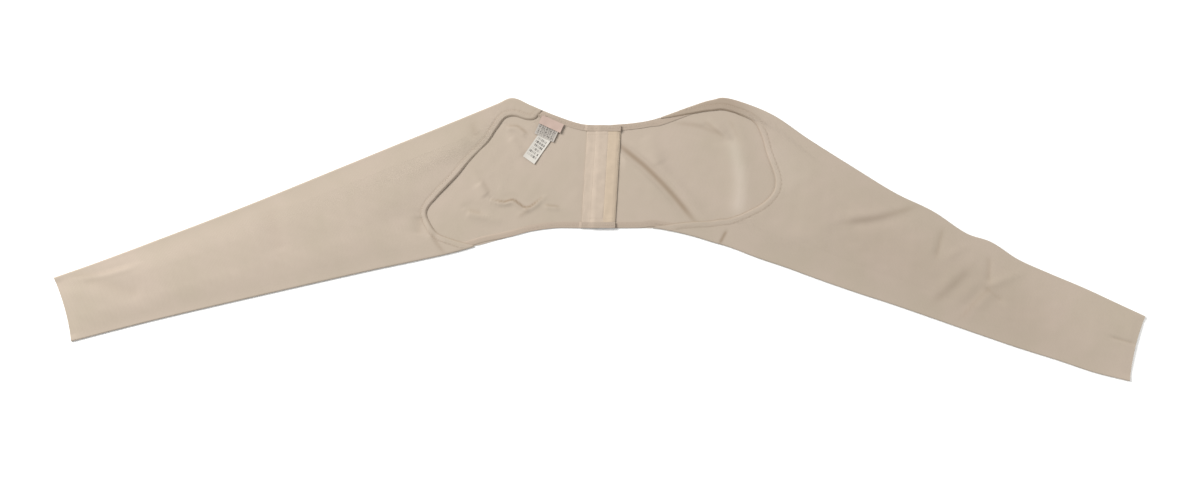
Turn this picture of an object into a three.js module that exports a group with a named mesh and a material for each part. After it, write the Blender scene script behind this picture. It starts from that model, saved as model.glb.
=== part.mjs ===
// Arm compression garment laid flat: two full-length knitted sleeves joined by a back panel,
// which closes at the centre back with a tape of hooks and eyes. Millimetres, +Z up.
// The inside of the back panel faces up, and the front layer of each sleeve lies on it.
import * as THREE from 'three';

// Fabric and trims
const fabricThickness = 1.0;
const clearance = 0.3;
const elasticWidth = 7;
const elasticThickness = 0.8;

// Garment as it lies
const sleeveLength = 525;
const armholeWidth = 160;
const cuffWidth = 78;
const backHeight = 120;
const leftBackReach = 141.5;
const rightBackReach = 156;
const leftDroop = 17.6;
const rightDroop = 23;

// How far the front layer stands off the back layer, past the folded fabric itself
const sleeveLoft = 6;
const cuffLoft = 5.2;
const openingLoft = 5.6;
const leftCrownShare = 0.35;
const rightCrownShare = 0.3;

// Centre-back closure
const closureLean = 3.5;
const closureShare = 1.014;
const eyeTapeWidth = 40;
const eyeTapeThickness = 1.2;
const hookTapeWidth = 21.5;
const hookTapeThickness = 1.0;
const hookTapeOffset = 7.2;
const eyeTapeRise = 4;
const leftPanelLap = 1.8;
const rightPanelGap = 7.2;

// Labels at the left neckline
const labelThickness = 0.5;
const brandLabelWidth = 28;
const brandLabelLength = 11;
const careLabelWidth = 25;
const careLabelLength = 17;
const sizeLabelWidth = 16.5;
const sizeLabelLength = 35;

// Mesh density
const tubeSteps = 24;
const backSteps = 8;
const acrossSteps = 20;
const foldSteps = 3;
const elasticSteps = 80;
const straightSteps = 10;

// Outlines of the back panel, a row for each section from the panel's end (out 0) to the armhole:
// top and bottom are shares of the back height, lean is the tilt of the section in degrees. The
// left edge elastic runs on past the panel's end, across the tape.
const leftBackRows = [
  { out: -0.16, top: 0.512, bottom: 0.512, lean: -3.6 },
  { out: 0.0, top: 0.514, bottom: 0.514, lean: -3.6 },
  { out: 0.2, top: 0.524, bottom: 0.512, lean: -3.4 },
  { out: 0.4, top: 0.611, bottom: 0.512, lean: 0 },
  { out: 0.6, top: 0.711, bottom: 0.544, lean: 0 },
  { out: 0.75, top: 0.783, bottom: 0.591, lean: 0 },
  { out: 0.88, top: 0.723, bottom: 0.631, lean: 0 },
];
const rightBackRows = [
  { out: 0.0, top: 0.514, bottom: 0.512, lean: 3.6 },
  { out: 0.18, top: 0.532, bottom: 0.512, lean: 3.2 },
  { out: 0.36, top: 0.564, bottom: 0.512, lean: 0 },
  { out: 0.52, top: 0.631, bottom: 0.544, lean: 0 },
  { out: 0.68, top: 0.703, bottom: 0.591, lean: 0 },
  { out: 0.84, top: 0.763, bottom: 0.651, lean: 0 },
];

// Outlines of the sleeves from the armhole (along 0) to the cuff (along 1): top and bottom are
// shares of the sleeve's width there.
const leftSleeveRows = [
  { along: 0.0, top: 0.498, bottom: 0.503, lean: 0 },
  { along: 0.08, top: 0.478, bottom: 0.507, lean: 6 },
  { along: 0.18, top: 0.466, bottom: 0.501, lean: 12 },
  { along: 0.3, top: 0.456, bottom: 0.493, lean: 17 },
  { along: 0.54, top: 0.448, bottom: 0.484, lean: 17.6 },
  { along: 0.78, top: 0.463, bottom: 0.479, lean: 17.6 },
  { along: 0.9, top: 0.481, bottom: 0.488, lean: 16.5 },
  { along: 1.0, top: 0.512, bottom: 0.505, lean: 15.3 },
];
const rightSleeveRows = [
  { along: 0.0, top: 0.578, bottom: 0.533, lean: 0 },
  { along: 0.08, top: 0.597, bottom: 0.53, lean: 5 },
  { along: 0.16, top: 0.538, bottom: 0.522, lean: 10 },
  { along: 0.26, top: 0.486, bottom: 0.527, lean: 16 },
  { along: 0.36, top: 0.446, bottom: 0.532, lean: 21 },
  { along: 0.45, top: 0.453, bottom: 0.532, lean: 23 },
  { along: 0.54, top: 0.407, bottom: 0.538, lean: 23 },
  { along: 0.6, top: 0.443, bottom: 0.544, lean: 23 },
  { along: 0.67, top: 0.406, bottom: 0.55, lean: 23 },
  { along: 0.75, top: 0.424, bottom: 0.555, lean: 22 },
  { along: 0.84, top: 0.461, bottom: 0.548, lean: 20 },
  { along: 0.92, top: 0.483, bottom: 0.552, lean: 17 },
  { along: 1.0, top: 0.512, bottom: 0.514, lean: 13.4 },
];

// Free edge of each front layer, from the neckline round the shoulder to the underarm. at counts
// 0 to 1 over the back panel and 1 to 2 over the sleeve, across is 0 at the upper outline and 1 at
// the lower one. The first rows are the strip that is rolled over along the neckline.
const leftEdgeRows = [
  { at: 0.51, across: 0.0 },
  { at: 0.56, across: 0.085 },
  { at: 0.64, across: 0.122 },
  { at: 0.75, across: 0.126 },
  { at: 0.82, across: 0.13 },
  { at: 0.88, across: 0.177 },
  { at: 1.01, across: 0.295 },
  { at: 1.066, across: 0.434 },
  { at: 1.112, across: 0.535 },
  { at: 1.139, across: 0.615 },
  { at: 1.134, across: 0.746 },
  { at: 1.119, across: 0.828 },
  { at: 1.09, across: 0.89 },
  { at: 1.03, across: 1.0 },
];
const rightEdgeRows = [
  { at: 0.43, across: 0.0 },
  { at: 0.58, across: 0.04 },
  { at: 0.76, across: 0.075 },
  { at: 0.9, across: 0.084 },
  { at: 1.0, across: 0.078 },
  { at: 1.045, across: 0.078 },
  { at: 1.061, across: 0.144 },
  { at: 1.077, across: 0.274 },
  { at: 1.103, across: 0.43 },
  { at: 1.097, across: 0.536 },
  { at: 1.058, across: 0.681 },
  { at: 0.998, across: 0.8 },
  { at: 0.871, across: 0.844 },
  { at: 0.6, across: 0.918 },
  { at: 0.36, across: 1.0 },
];

// Main dents and folds, as straight ridges between two places: lift is a share of the sleeve's
// loft, spread is the half-width as a share of the cuff's width.
const leftFoldRows = [
  { layer: 'under', fromAt: 0.9, fromAcross: 0.69, toAt: 0.75, toAcross: 0.735, lift: 0.25, spread: 0.13 },
  { layer: 'under', fromAt: 0.72, fromAcross: 0.75, toAt: 0.52, toAcross: 0.77, lift: 0.3, spread: 0.14 },
  { layer: 'over', fromAt: 1.49, fromAcross: 0.2, toAt: 1.49, toAcross: 0.6, lift: -0.14, spread: 0.22 },
  { layer: 'over', fromAt: 1.93, fromAcross: 0.25, toAt: 1.82, toAcross: 0.6, lift: -0.16, spread: 0.2 },
  { layer: 'over', fromAt: 1.2, fromAcross: 0.3, toAt: 1.22, toAcross: 0.75, lift: 0.16, spread: 0.3 },
];
const rightFoldRows = [
  { layer: 'under', fromAt: 0.2, fromAcross: 0.33, toAt: 0.66, toAcross: 0.83, lift: 0.06, spread: 0.11 },
  { layer: 'under', fromAt: 0.34, fromAcross: 0.2, toAt: 0.44, toAcross: 0.42, lift: 0.05, spread: 0.1 },
  { layer: 'over', fromAt: 1.3, fromAcross: 0.42, toAt: 1.4, toAcross: 0.12, lift: 0.16, spread: 0.2 },
  { layer: 'over', fromAt: 1.5, fromAcross: 0.12, toAt: 1.49, toAcross: 0.4, lift: -0.2, spread: 0.16 },
  { layer: 'over', fromAt: 1.57, fromAcross: 0.1, toAt: 1.53, toAcross: 0.35, lift: 0.24, spread: 0.16 },
  { layer: 'over', fromAt: 1.7, fromAcross: 0.1, toAt: 1.63, toAcross: 0.45, lift: 0.26, spread: 0.18 },
  { layer: 'over', fromAt: 1.62, fromAcross: 0.46, toAt: 1.615, toAcross: 0.85, lift: 0.18, spread: 0.18 },
  { layer: 'over', fromAt: 1.57, fromAcross: 0.4, toAt: 1.56, toAcross: 0.85, lift: -0.16, spread: 0.18 },
];

const foldHeight = fabricThickness + elasticThickness + 2 * clearance;
const foldRadius = foldHeight / 2;
const foldInset = foldRadius + fabricThickness / 2;
const foldRoom = foldInset + fabricThickness;
const elasticMargin = elasticWidth / 2 + clearance;
const elasticSlack = 3 * clearance;
const closureHeight = closureShare * backHeight - 4 * elasticMargin;
const hookSide = hookTapeOffset - hookTapeWidth / 2;
const tapeRise = hookTapeThickness + clearance;

const left = {
  side: -1, panelEnd: -leftPanelLap, backReach: leftBackReach, droop: leftDroop,
  crownShare: leftCrownShare,
  backRows: leftBackRows, sleeveRows: leftSleeveRows, edgeRows: leftEdgeRows, foldRows: leftFoldRows,
};
const right = {
  side: 1, panelEnd: rightPanelGap, backReach: rightBackReach, droop: rightDroop,
  crownShare: rightCrownShare,
  backRows: rightBackRows, sleeveRows: rightSleeveRows, edgeRows: rightEdgeRows, foldRows: rightFoldRows,
};

function smoothStep(from, to, value) {
  return THREE.MathUtils.smoothstep(value, from, to);
}

// Ends of one section. Plan coordinates are outward from the centre back, and up the page.
function sectionRow(at, outward, rise, top, bottom, lean) {
  const tilt = THREE.MathUtils.degToRad(lean);
  const across = new THREE.Vector2(Math.sin(tilt), Math.cos(tilt));
  const middle = new THREE.Vector2(outward, rise);
  return {
    at,
    upper: middle.clone().addScaledVector(across, top),
    lower: middle.clone().addScaledVector(across, -bottom),
  };
}

function sectionRows(half) {
  const droop = THREE.MathUtils.degToRad(half.droop);
  const backRows = half.backRows.map(({ out, top, bottom, lean }) => {
    const outward = THREE.MathUtils.lerp(half.panelEnd, half.backReach, out);
    return sectionRow(out, outward, 0, top * backHeight, bottom * backHeight, lean);
  });
  const sleeveRows = half.sleeveRows.map(({ along, top, bottom, lean }) => {
    const reach = along * sleeveLength;
    const width = THREE.MathUtils.lerp(armholeWidth, cuffWidth, along);
    const outward = half.backReach + reach * Math.cos(droop);
    return sectionRow(1 + along, outward, -reach * Math.sin(droop), top * width, bottom * width, lean);
  });
  return [...backRows, ...sleeveRows];
}

// Smooth curve through one end of every section
function throughRows(rows, end, at) {
  const last = rows.length - 1;
  const slope = (i) => {
    const before = rows[Math.max(i - 1, 0)];
    const after = rows[Math.min(i + 1, last)];
    return after[end].clone().sub(before[end]).divideScalar(after.at - before.at);
  };
  let i = 0;
  while (i < last - 1 && at > rows[i + 1].at) i += 1;
  const span = rows[i + 1].at - rows[i].at;
  const t = (at - rows[i].at) / span;
  const point = rows[i][end].clone().multiplyScalar(2 * t ** 3 - 3 * t ** 2 + 1);
  point.addScaledVector(slope(i), span * (t ** 3 - 2 * t ** 2 + t));
  point.addScaledVector(rows[i + 1][end], -2 * t ** 3 + 3 * t ** 2);
  return point.addScaledVector(slope(i + 1), span * (t ** 3 - t ** 2));
}

for (const half of [left, right]) {
  half.rows = sectionRows(half);
  half.section = (at) => {
    const upper = throughRows(half.rows, 'upper', at);
    const lower = throughRows(half.rows, 'lower', at);
    return { upper, lower, width: upper.distanceTo(lower) };
  };
  half.plan = (at, across) => {
    const { upper, lower } = half.section(at);
    return upper.lerp(lower, across);
  };
}

// The free edge of the front layer as evenly counted points. share runs 0 to 1 with the mean of
// the way along the edge and the way across, which keeps the mesh lines even round the opening.
function freeEdge(half, steps) {
  const scale = new THREE.Vector2(half.backReach, backHeight);
  const knots = half.edgeRows.map(({ at, across }) => new THREE.Vector3(at * scale.x, across * scale.y, 0));
  const dense = new THREE.CatmullRomCurve3(knots, false, 'centripetal').getSpacedPoints(12 * steps);
  const shareOf = (point, i) => (i / (dense.length - 1) + point.y / scale.y) / 2;
  const edge = [];
  let i = 0;
  for (let j = 0; j <= steps; j += 1) {
    while (i < dense.length - 1 && shareOf(dense[i], i) < j / steps) i += 1;
    const point = dense[i];
    edge.push({ at: point.x / scale.x, across: THREE.MathUtils.clamp(point.y / scale.y, 0, 1) });
  }
  edge[0].across = 0;
  edge[steps].across = 1;
  return edge;
}

// Share of its full height that the front layer has between its two folds
function crown(half, across) {
  return smoothStep(0, half.crownShare, Math.min(across, 1 - across));
}

// Height of the front layer over its folds: reach is 0 at the cuff and 1 at the free edge
function loft(half, reach, across) {
  const swell = smoothStep(0, 0.12, reach) * (1 - smoothStep(0.8, 1, reach));
  const mouth = reach < 0.5 ? cuffLoft : openingLoft;
  return crown(half, across) * THREE.MathUtils.lerp(mouth, sleeveLoft, swell);
}

function foldLift(half, layer, place) {
  let lift = 0;
  for (const row of half.foldRows.filter((each) => each.layer === layer)) {
    const from = half.plan(row.fromAt, row.fromAcross);
    const ridge = half.plan(row.toAt, row.toAcross).sub(from);
    const share = THREE.MathUtils.clamp(place.clone().sub(from).dot(ridge) / ridge.lengthSq(), 0, 1);
    const distance = from.addScaledVector(ridge, share).distanceTo(place);
    lift += row.lift * sleeveLoft * Math.exp(-((distance / (row.spread * cuffWidth)) ** 2));
  }
  return lift;
}

// A sheet of middle-surface points and quads becomes a closed wall of the given thickness
function thickened(points, quads, thickness) {
  const triangles = quads.flatMap(([a, b, c, d]) => [[a, b, c], [a, c, d]]);
  const normals = points.map(() => new THREE.Vector3());
  const directed = new Set();
  for (const triangle of triangles) {
    const [a, b, c] = triangle.map((index) => points[index]);
    const normal = b.clone().sub(a).cross(c.clone().sub(a));
    triangle.forEach((index, k) => {
      normals[index].add(normal);
      directed.add(`${index} ${triangle[(k + 1) % 3]}`);
    });
  }
  const faces = [];
  const inner = points.length;
  for (const [a, b, c] of triangles) {
    faces.push(a, b, c, inner + c, inner + b, inner + a);
    for (const [from, to] of [[a, b], [b, c], [c, a]]) {
      const isRim = !directed.has(`${to} ${from}`);
      if (isRim) faces.push(to, from, inner + from, to, inner + from, inner + to);
    }
  }
  const outerPoints = points.map((p, i) => p.clone().addScaledVector(normals[i].normalize(), thickness / 2));
  const innerPoints = points.map((p, i) => p.clone().addScaledVector(normals[i], -thickness / 2));
  const positions = [...outerPoints, ...innerPoints].flatMap((p) => p.toArray());
  const geometry = new THREE.BufferGeometry();
  geometry.setAttribute('position', new THREE.Float32BufferAttribute(positions, 3));
  geometry.setIndex(faces);
  return geometry;
}

// Quads between neighbouring rows of point numbers. side 1 or -1 keeps the faces pointing out
// on either half of the garment.
function quadsBetween(first, second, side) {
  const quads = [];
  for (let j = 0; j < first.length - 1; j += 1) {
    const quad = [first[j], first[j + 1], second[j + 1], second[j]];
    quads.push(side > 0 ? quad : quad.reverse());
  }
  return quads;
}

// One half of the garment: a tube from the cuff to the free edge, and the single layer beyond it
function halfSheet(half) {
  const edge = freeEdge(half, acrossSteps);
  const points = [];
  const addPoint = (place, z) => points.push(new THREE.Vector3(half.side * place.x, place.y, z)) - 1;
  const floorLevel = fabricThickness / 2;
  const armpit = edge[acrossSteps].at;

  // A place on the sheet, drawn in from both outlines where the fabric folds over
  const placeOf = (at, across, folded) => {
    const { upper, lower, width } = half.section(at);
    const inset = (folded * foldInset) / width;
    return upper.lerp(lower, THREE.MathUtils.lerp(inset, 1 - inset, across));
  };
  const underRow = (reach, folded) => edge.map((_, j) => {
    const across = j / acrossSteps;
    const line = THREE.MathUtils.lerp(edge[0].at, armpit, across);
    const at = reach <= 1 ? THREE.MathUtils.lerp(2, line, reach) : line * (2 - reach);
    const place = placeOf(at, across, folded);
    return addPoint(place, floorLevel + foldLift(half, 'under', place) * crown(half, across));
  });
  const overRow = (reach) => edge.map((corner, j) => {
    const across = THREE.MathUtils.lerp(j / acrossSteps, corner.across, reach);
    const place = placeOf(THREE.MathUtils.lerp(2, corner.at, reach), across, 1);
    const lift = loft(half, reach, across) + foldLift(half, 'over', place) * crown(half, across);
    return addPoint(place, floorLevel + foldHeight + lift);
  });
  // Round of a fold, from the back layer (-90 degrees) up to the front layer (+90)
  const foldRow = (reach, end) => {
    const { upper, lower, width } = half.section(THREE.MathUtils.lerp(2, edge[end * acrossSteps].at, reach));
    const outward = (end === 0 ? upper.clone().sub(lower) : lower.clone().sub(upper)).divideScalar(width);
    const centre = (end === 0 ? upper : lower).clone().addScaledVector(outward, -foldInset);
    const row = [];
    for (let k = 1; k < foldSteps; k += 1) {
      const turn = Math.PI * (k / foldSteps - 0.5);
      const place = centre.clone().addScaledVector(outward, foldRadius * Math.cos(turn));
      row.push(addPoint(place, floorLevel + foldRadius * (1 + Math.sin(turn))));
    }
    return row;
  };

  const quads = [];
  let under = null;
  let ring = null;
  for (let i = 0; i <= tubeSteps; i += 1) {
    const reach = i / tubeSteps;
    under = underRow(reach, 1);
    const over = overRow(reach).reverse();
    const next = [...under, ...foldRow(reach, 1), ...over, ...foldRow(reach, 0).reverse(), under[0]];
    if (ring) quads.push(...quadsBetween(ring, next, half.side));
    ring = next;
  }
  for (let i = 1; i <= backSteps; i += 1) {
    const next = underRow(1 + i / backSteps, Math.max(0, 1 - i / 2));
    quads.push(...quadsBetween(under, next, half.side));
    under = next;
  }
  return thickened(points, quads, fabricThickness);
}

// A place moved by a small step in plan, given back as at and across
function moved(half, { at, across }, step) {
  const nudge = 1e-4;
  const here = half.plan(at, across);
  const alongAt = half.plan(at + nudge, across).sub(here).divideScalar(nudge);
  const alongAcross = half.plan(at, across + nudge).sub(here).divideScalar(nudge);
  const area = alongAt.cross(alongAcross);
  return {
    at: at + step.clone().cross(alongAcross) / area,
    across: across + alongAt.cross(step) / area,
  };
}

// How far the trims on the left panel rise where they pass over the hook tape
function overHooks(offset) {
  return tapeRise * smoothStep(hookSide - clearance - eyeTapeRise, hookSide - clearance, offset);
}

// Flat elastic on the inside of the opening edge, from the closure along the neckline, round the
// front opening and back along the hem
function edgeElastic(half, closureEnd) {
  const edge = freeEdge(half, elasticSteps / 2);
  const closureAt = (closureEnd - half.panelEnd) / (half.backReach - half.panelEnd);
  const straight = (from, to, across) => Array.from({ length: straightSteps }, (_, i) => (
    { at: THREE.MathUtils.lerp(from, to, i / straightSteps), across, room: i < straightSteps - 2 ? 0 : foldRoom }));
  const neck = straight(closureAt, edge[0].at, 0);
  const hem = straight(closureAt, edge[edge.length - 1].at, 1).reverse();
  const front = edge.map((place) => ({ ...place, room: foldRoom }));

  const knots = [...neck, ...front, ...hem].map((place, i, all) => {
    const before = all[Math.max(i - 1, 0)];
    const after = all[Math.min(i + 1, all.length - 1)];
    const run = half.plan(after.at, after.across).sub(half.plan(before.at, before.across)).normalize();
    const inFabric = moved(half, place, new THREE.Vector2(-run.y, run.x).multiplyScalar(elasticMargin));
    const least = (elasticMargin + place.room) / half.section(inFabric.at).width;
    const across = THREE.MathUtils.clamp(inFabric.across, least, 1 - least);
    return new THREE.Vector3(inFabric.at * half.backReach, across * backHeight, 0);
  });
  const route = new THREE.CatmullRomCurve3(knots, false, 'centripetal').getSpacedPoints(elasticSteps)
    .map((point) => ({ at: point.x / half.backReach, across: point.y / backHeight }));

  const points = [];
  const rows = route.map((place, i) => {
    const before = route[Math.max(i - 1, 0)];
    const after = route[Math.min(i + 1, route.length - 1)];
    const run = half.plan(after.at, after.across).sub(half.plan(before.at, before.across)).normalize();
    const share = i / elasticSteps;
    const underFront = smoothStep(0.16, 0.42, share) * (1 - smoothStep(0.6, 0.84, share));
    return [1, -1].map((way) => {
      const step = new THREE.Vector2(-run.y, run.x).multiplyScalar((way * elasticWidth) / 2);
      const spot = half.plan(place.at, place.across).add(step);
      const across = moved(half, place, step).across;
      const lift = underFront * Math.max(0, loft(half, 1, across) - elasticSlack)
        + (half.side < 0 ? overHooks(-spot.x) : 0);
      const z = fabricThickness + clearance + elasticThickness / 2 + lift;
      return points.push(new THREE.Vector3(half.side * spot.x, spot.y, z)) - 1;
    });
  });
  const quads = rows.slice(1).flatMap((row, i) => quadsBetween(row, rows[i], -half.side));
  return thickened(points, quads, elasticThickness);
}

// A strip of tape along the closure, between the elastics of the neckline and the hem
function closureTape(columns, thickness) {
  const lean = Math.tan(THREE.MathUtils.degToRad(closureLean));
  const points = [];
  const rows = [-0.5, 0, 0.5].map((share) => columns.map(({ offset, z }) => {
    const up = share * closureHeight;
    return points.push(new THREE.Vector3(offset + up * lean, up, z)) - 1;
  }));
  const quads = rows.slice(1).flatMap((row, i) => quadsBetween(rows[i], row, 1));
  return thickened(points, quads, thickness);
}

function eyeTape() {
  const sewn = fabricThickness + clearance + eyeTapeThickness / 2;
  const columns = [-eyeTapeWidth / 2, hookSide - clearance - eyeTapeRise, hookSide - clearance, eyeTapeWidth / 2];
  return closureTape(columns.map((offset) => ({ offset, z: sewn + overHooks(offset) })), eyeTapeThickness);
}

function hookTape() {
  const z = fabricThickness + clearance + hookTapeThickness / 2;
  return closureTape([{ offset: hookSide, z }, { offset: hookSide + hookTapeWidth, z }], hookTapeThickness);
}

function clothMaterial(color) {
  return new THREE.MeshStandardMaterial({ color, roughness: 0.85, metalness: 0, side: THREE.DoubleSide });
}

function addPiece(group, name, geometry, color) {
  const mesh = new THREE.Mesh(geometry, clothMaterial(color));
  mesh.name = name;
  group.add(mesh);
  return mesh;
}

// Labels lie on the left back panel, one on the other: level counts up from the panel
const labelRows = [
  { name: 'size_label', at: 0.545, across: 0.33, width: sizeLabelWidth, length: sizeLabelLength,
    turn: -35, level: 0, color: '#ebe5dc' },
  { name: 'care_label', at: 0.462, across: 0.165, width: careLabelWidth, length: careLabelLength,
    turn: -25, level: 1, color: '#c9c2ba' },
  { name: 'brand_label', at: 0.425, across: 0.088, width: brandLabelWidth, length: brandLabelLength,
    turn: -24.5, level: 2, color: '#d8c3b6' },
];

function addLabels(group) {
  for (const { name, at, across, width, length, turn, level, color } of labelRows) {
    const label = addPiece(group, name, new THREE.BoxGeometry(width, length, labelThickness), color);
    const spot = left.plan(at, across);
    const z = fabricThickness + clearance + labelThickness / 2 + level * (labelThickness + clearance);
    label.position.set(left.side * spot.x, spot.y, z);
    label.rotation.z = THREE.MathUtils.degToRad(turn);
  }
}

const garment = new THREE.Group();
addPiece(garment, 'left_sleeve', halfSheet(left), '#cfbead');
addPiece(garment, 'right_sleeve', halfSheet(right), '#bfae9a');
addPiece(garment, 'left_edge_elastic', edgeElastic(left, -eyeTapeWidth / 2), '#c4b09d');
addPiece(garment, 'right_edge_elastic', edgeElastic(right, rightPanelGap + clearance), '#b3a08c');
addPiece(garment, 'eye_tape', eyeTape(), '#d6c0ac');
addPiece(garment, 'hook_tape', hookTape(), '#cbb49f');
addLabels(garment);

// The origin is under the middle of the garment's outline
const middle = new THREE.Box3().setFromObject(garment).getCenter(new THREE.Vector3());
garment.position.set(-middle.x, -middle.y, 0);

export default garment;
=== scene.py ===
import math

import bpy
import numpy as np
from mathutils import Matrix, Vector
from mathutils.bvhtree import BVHTree
from mathutils.kdtree import KDTree


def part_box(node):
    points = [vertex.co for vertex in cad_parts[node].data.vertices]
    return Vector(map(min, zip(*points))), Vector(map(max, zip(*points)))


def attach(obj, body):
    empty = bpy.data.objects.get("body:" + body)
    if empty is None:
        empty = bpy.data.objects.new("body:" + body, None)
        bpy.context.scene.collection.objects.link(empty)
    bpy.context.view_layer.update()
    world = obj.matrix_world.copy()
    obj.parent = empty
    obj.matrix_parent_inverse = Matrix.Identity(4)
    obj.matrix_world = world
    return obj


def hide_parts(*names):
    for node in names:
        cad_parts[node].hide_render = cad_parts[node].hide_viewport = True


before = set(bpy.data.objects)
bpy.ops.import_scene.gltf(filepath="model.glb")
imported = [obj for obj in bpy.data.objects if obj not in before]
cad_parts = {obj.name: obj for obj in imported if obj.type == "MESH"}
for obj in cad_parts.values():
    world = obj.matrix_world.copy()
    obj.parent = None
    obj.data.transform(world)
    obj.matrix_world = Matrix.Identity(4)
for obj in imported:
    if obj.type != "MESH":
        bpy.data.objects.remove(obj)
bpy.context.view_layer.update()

# Arm compression garment laid flat: two knitted sleeves joined by a back panel with a hook-and-eye
# tape. Its plan is worked out in millimetres from the middle of the closure and moved into the frame.
mm = 0.001
closureLow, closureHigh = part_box("eye_tape")
closureMiddle = np.array([(closureLow[k] + closureHigh[k]) / 2 for k in range(2)])

# Main sizes of the cut, and how the fabric is stacked
garment = {
    "sleeveLength": 525, "armholeWidth": 160, "cuffWidth": 78, "backHeight": 120,
    "fabricSpace": 1.0,        # room that one layer takes
    "fabricWall": 0.8,         # the knit itself
    "clearance": 0.3,
    "foldHeight": 1.6,         # from the back layer up to the front layer at a fold
    "foldRadius": 0.8,
    "foldInset": 1.3,
    "sleeveLoft": 2.1,         # how far the front layer stands off past its folds
    "cuffLoft": 0.8,
    "openingLoft": 0.35,
    "cuffDroop": 0.9,          # how far the rim of a cuff lies down towards the back layer
    "cuffRim": 0.03,           # part of the sleeve over which it does so
    "cuffFolds": 0.1,          # part of the width at its two folds that stays up
    "loftEnds": (0.12, 0.8),   # where the loft is full, from the cuff to the opening
    "trimGap": 0.1,            # between the back layer and the elastic on it
    "crownShare": 0.35,        # part of the width over which the front layer rises from a fold
    "cuffCurve": 3.0,          # how far the middle of a cuff is drawn in
    "cuffReach": 0.08,         # part of the sleeve over which it is
    "stripTurn": 8,            # how late the rows of the front layer spread out along its strips
    "calmFrom": 20, "calmTo": 30,   # the back lies flat under the closure and is free from there on
}

leftHalf = {
    "side": -1, "panelEnd": -1.8, "backReach": 141.5, "droop": 17.6, "seed": 11,
    "stripPaintedShade": 0.03,
    "corners": (0.82, None),   # where the free edge turns into the strips along the outlines
    # out, top, bottom, lean
    "backRows": [
        (-0.16, 0.512, 0.512, -3.6), (0.0, 0.514, 0.514, -3.6), (0.2, 0.524, 0.512, -3.4),
        (0.4, 0.611, 0.512, 0), (0.6, 0.711, 0.544, 0), (0.75, 0.783, 0.591, 0), (0.88, 0.723, 0.631, 0),
    ],
    # along, top, bottom, lean
    "sleeveRows": [
        (0.0, 0.498, 0.503, 0), (0.08, 0.478, 0.507, 6), (0.18, 0.466, 0.501, 12), (0.3, 0.456, 0.493, 17),
        (0.54, 0.448, 0.484, 17.6), (0.78, 0.463, 0.479, 17.6), (0.9, 0.481, 0.488, 16.5),
        (1.0, 0.512, 0.505, 15.3),
    ],
    # at, across
    "edgeRows": [
        (0.51, 0.0), (0.56, 0.085), (0.64, 0.122), (0.75, 0.126), (0.82, 0.13), (0.88, 0.177),
        (1.01, 0.295), (1.066, 0.434), (1.112, 0.535), (1.139, 0.615), (1.134, 0.746), (1.119, 0.828),
        (1.09, 0.89), (1.03, 1.0),
    ],
}
rightHalf = {
    "side": 1, "panelEnd": 7.2, "backReach": 156, "droop": 23, "seed": 23,
    "stripPaintedShade": 0.16, "corners": (1.04, 0.998),
    "backRows": [
        (0.0, 0.514, 0.512, 3.6), (0.18, 0.532, 0.512, 3.2), (0.36, 0.564, 0.512, 0),
        (0.52, 0.631, 0.544, 0), (0.68, 0.703, 0.591, 0), (0.84, 0.763, 0.651, 0),
    ],
    "sleeveRows": [
        (0.0, 0.578, 0.533, 0), (0.08, 0.597, 0.53, 5), (0.16, 0.538, 0.522, 10), (0.26, 0.486, 0.527, 16),
        (0.36, 0.446, 0.532, 21), (0.45, 0.453, 0.532, 23), (0.54, 0.407, 0.538, 23),
        (0.6, 0.443, 0.544, 23), (0.67, 0.406, 0.55, 23), (0.75, 0.424, 0.555, 22),
        (0.84, 0.461, 0.548, 20), (0.92, 0.483, 0.552, 17), (1.0, 0.512, 0.514, 13.4),
    ],
    "edgeRows": [
        (0.43, 0.0), (0.58, 0.037), (0.76, 0.063), (0.9, 0.074), (1.0, 0.081), (1.045, 0.092),
        (1.061, 0.15), (1.077, 0.274), (1.103, 0.43), (1.097, 0.536), (1.058, 0.681), (0.998, 0.8),
        (0.871, 0.844), (0.6, 0.918), (0.36, 1.0),
    ],
}

# Creases of the lying fabric: layer, kind, height and half-width in millimetres, painted shade (how much
# darker the knit is coloured along it, painted light where it is negative), and a path through places
# (at, across). A ridge stands up, or sinks where its height is negative, a tuck steps across its path,
# and a groove has a raised lip on both sides.
leftHalf["creases"] = [
    ("under", "tuck", 2.0, 2.5, 0.38,
     [(0.926, 0.693), (0.817, 0.735), (0.75, 0.736), (0.634, 0.809), (0.509, 0.734)]),
    ("under", "ridge", 1.2, 3, 0.1, [(0.609, 0.824), (0.7, 0.868)]),
    ("under", "tuck", 1.3, 2.6, 0.18, [(0.484, 0.793), (0.357, 0.807)]),
    ("under", "tuck", 1.3, 4, 0.12, [(1.043, 0.708), (1.002, 0.772)]),
    ("under", "ridge", 1.4, 5.5, 0.0, [(1.018, 0.783), (0.833, 0.883)]),
    ("under", "tuck", 1.2, 5.5, 0.05, [(1.002, 0.526), (0.949, 0.644)]),
    ("under", "ridge", 1.0, 5, 0.0, [(0.775, 0.284), (0.659, 0.411)]),
    ("under", "tuck", 1.2, 2.8, 0.18, [(0.81, 0.19), (0.72, 0.2), (0.62, 0.235)]),
    ("over", "ridge", -0.8, 14, 0.02, [(1.485, 0.107), (1.486, 0.617)]),
    ("over", "ridge", -1.0, 11, 0.03, [(1.937, 0.157), (1.814, 0.643)]),
    ("over", "tuck", 0.8, 3.5, 0.05, [(1.97, 0.05), (1.9, 0.16), (1.81, 0.2)]),
    ("over", "ridge", -1.2, 6, 0.06, [(1.026, 0.057), (1.018, 0.197)]),
    ("over", "ridge", -1.1, 8, 0.05, [(1.158, 0.635), (1.168, 0.797)]),
    ("over", "tuck", 1.3, 3, 0.16, [(1.137, 0.8), (1.128, 0.89), (1.112, 0.985)]),
]
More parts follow.
